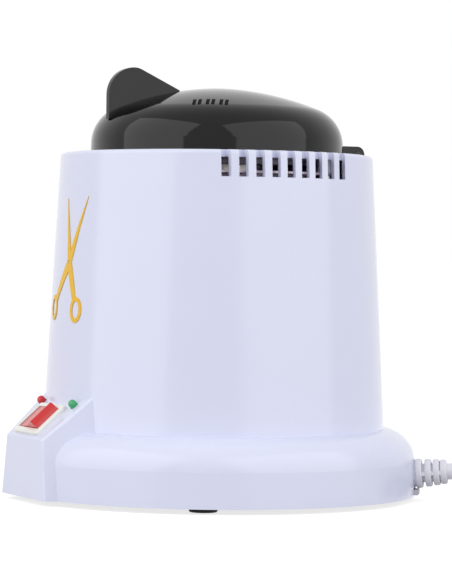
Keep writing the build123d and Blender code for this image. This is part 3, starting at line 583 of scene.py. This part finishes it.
def relief_profile():
    """Flange, neck, rings and core, as distance from the seat and radius in millimetres."""
    rows = [(-2.8, 3.05), (-2.8, 6.1), (-2.5, 6.4), (-1.3, 6.4), (-1.0, 6.1), (-1.0, NECK_RADIUS)]
    rows.append((RELIEF_RINGS[0][0], NECK_RADIUS))
    for start, radius in RELIEF_RINGS:
        if start != RELIEF_RINGS[0][0]:
            rows.append((start, CORE_RADIUS))
        rows.extend(ring_profile(start, radius))
        if start != RELIEF_RINGS[-1][0]:
            rows.append((start + RING_WIDTH, CORE_RADIUS))
    rows.append((RELIEF_TIP, 3.05))
    return rows


def make_relief():
    """Lathed rings and core along the lead's first direction, with flat bars each side."""
    heading = (LEAD_ROUTE[1] - LEAD_ROUTE[0]).normalized()
    sideways = heading.cross(Vector((0, 0, 1))).normalized()
    upright = sideways.cross(heading)
    angles = [2 * math.pi * i / RELIEF_SIDES for i in range(RELIEF_SIDES)]
    made = bmesh.new()
    rings = []
    for distance, radius in relief_profile():
        middle = RELIEF_SEAT + heading * distance * MM
        spokes = [(sideways * math.cos(angle) + upright * math.sin(angle)) * radius * MM for angle in angles]
        rings.append([made.verts.new(middle + spoke) for spoke in spokes])
    for first, second in zip(rings, rings[1:]):
        for i in range(RELIEF_SIDES):
            k = (i + 1) % RELIEF_SIDES
            made.faces.new((first[i], first[k], second[k], second[i]))
    made.faces.new(rings[0])
    made.faces.new(rings[-1])
    for side in (-1, 1):
        corners = []
        for distance, reach in BAR_ENDS:
            middle = RELIEF_SEAT + heading * distance * MM
            for out, lift in ((BAR_ROOT, -1), (reach, -1), (reach, 1), (BAR_ROOT, 1)):
                offset = sideways * side * out + upright * lift * BAR_HALF_HEIGHT
                corners.append(made.verts.new(middle + offset * MM))
        for sides in BOX_FACES:
            made.faces.new([corners[j] for j in sides])
    return new_piece("relief_rings", made, CORD)


relief_rings = make_relief()
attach(relief_rings, "housing")
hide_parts("strain_relief")


# Floor, world and lamps of the plain white studio

def white_ground(name, seen, spare):
    """White to the eye and in reflections, while the object's shadow still falls on it."""
    material = bpy.data.materials.new(name)
    material.use_nodes = True
    kit = material.node_tree.nodes
    links = material.node_tree.links
    kit.clear()
    plain = kit.new("ShaderNodeBsdfDiffuse")
    plain.inputs["Color"].default_value = (spare, spare, spare, 1)
    glow = kit.new("ShaderNodeEmission")
    glow.inputs["Color"].default_value = (1, 1, 1, 1)
    ray = kit.new("ShaderNodeLightPath")
    first = kit.new("ShaderNodeMath")
    first.operation = "MAXIMUM"
    second = kit.new("ShaderNodeMath")
    second.operation = "MAXIMUM"
    level = kit.new("ShaderNodeMath")
    level.operation = "MULTIPLY"
    level.inputs[1].default_value = seen
    both = kit.new("ShaderNodeAddShader")
    output = kit.new("ShaderNodeOutputMaterial")
    links.new(ray.outputs["Is Camera Ray"], first.inputs[0])
    links.new(ray.outputs["Is Glossy Ray"], first.inputs[1])
    links.new(first.outputs[0], second.inputs[0])
    links.new(ray.outputs["Is Transmission Ray"], second.inputs[1])
    links.new(second.outputs[0], level.inputs[0])
    links.new(level.outputs[0], glow.inputs["Strength"])
    links.new(plain.outputs[0], both.inputs[0])
    links.new(glow.outputs[0], both.inputs[1])
    links.new(both.outputs[0], output.inputs["Surface"])
    return material


FLOOR_REACH = 400.0
FLOOR_SEEN = 0.75
FLOOR_SPARE = 0.5

floor_mesh = bpy.data.meshes.new("floor")
floor_mesh.from_pydata(
    [(x * FLOOR_REACH, y * FLOOR_REACH, 0) for x, y in ((-1, -1), (1, -1), (1, 1), (-1, 1))],
    [],
    [(0, 1, 2, 3)],
)
floor = bpy.data.objects.new("floor", floor_mesh)
bpy.context.scene.collection.objects.link(floor)
floor.data.materials.append(white_ground("white_floor", FLOOR_SEEN, FLOOR_SPARE))

world = bpy.data.worlds.new("studio")
world.use_nodes = True
bpy.context.scene.world = world
kit = world.node_tree.nodes
links = world.node_tree.links
kit.clear()
STUDIO_FILL = 0.55
ray = kit.new("ShaderNodeLightPath")
first = kit.new("ShaderNodeMath")
first.operation = "MAXIMUM"
shown = kit.new("ShaderNodeMath")
shown.operation = "MAXIMUM"
level = kit.new("ShaderNodeMapRange")
level.inputs["To Min"].default_value = STUDIO_FILL
level.inputs["To Max"].default_value = 1.0
sky = kit.new("ShaderNodeBackground")
sky.inputs["Color"].default_value = (1, 1, 1, 1)
output = kit.new("ShaderNodeOutputWorld")
links.new(ray.outputs["Is Camera Ray"], first.inputs[0])
links.new(ray.outputs["Is Glossy Ray"], first.inputs[1])
links.new(first.outputs[0], shown.inputs[0])
links.new(ray.outputs["Is Transmission Ray"], shown.inputs[1])
links.new(shown.outputs[0], level.inputs["Value"])
links.new(level.outputs["Result"], sky.inputs["Strength"])
links.new(sky.outputs[0], output.inputs["Surface"])


LAMP_TARGET = Vector((0, 0, 0.09))


def softbox(name, bearing, climb, distance, width, height, radiance):
    """A flat lamp aimed at the object: bearing from the camera's side and climb, in degrees."""
    data = bpy.data.lights.new(name, "AREA")
    data.shape = "RECTANGLE"
    data.size = width
    data.size_y = height
    data.energy = radiance * math.pi * width * height
    thing = bpy.data.objects.new(name, data)
    bpy.context.scene.collection.objects.link(thing)
    turn = math.atan2(CAMERA_SIDE.y, CAMERA_SIDE.x) + math.radians(bearing)
    rise = math.radians(climb)
    away = Vector((math.cos(turn) * math.cos(rise), math.sin(turn) * math.cos(rise), math.sin(rise)))
    thing.location = LAMP_TARGET + away * distance
    thing.rotation_mode = "QUATERNION"
    thing.rotation_quaternion = (-away).to_track_quat("-Z", "Y")
    return thing


softbox("left_softbox", bearing=-61, climb=25, distance=1.1, width=1.36, height=1.3, radiance=1.35)
softbox("right_softbox", bearing=52, climb=25, distance=1.1, width=1.56, height=1.3, radiance=1.15)

bpy.context.scene.view_settings.view_transform = "Standard"
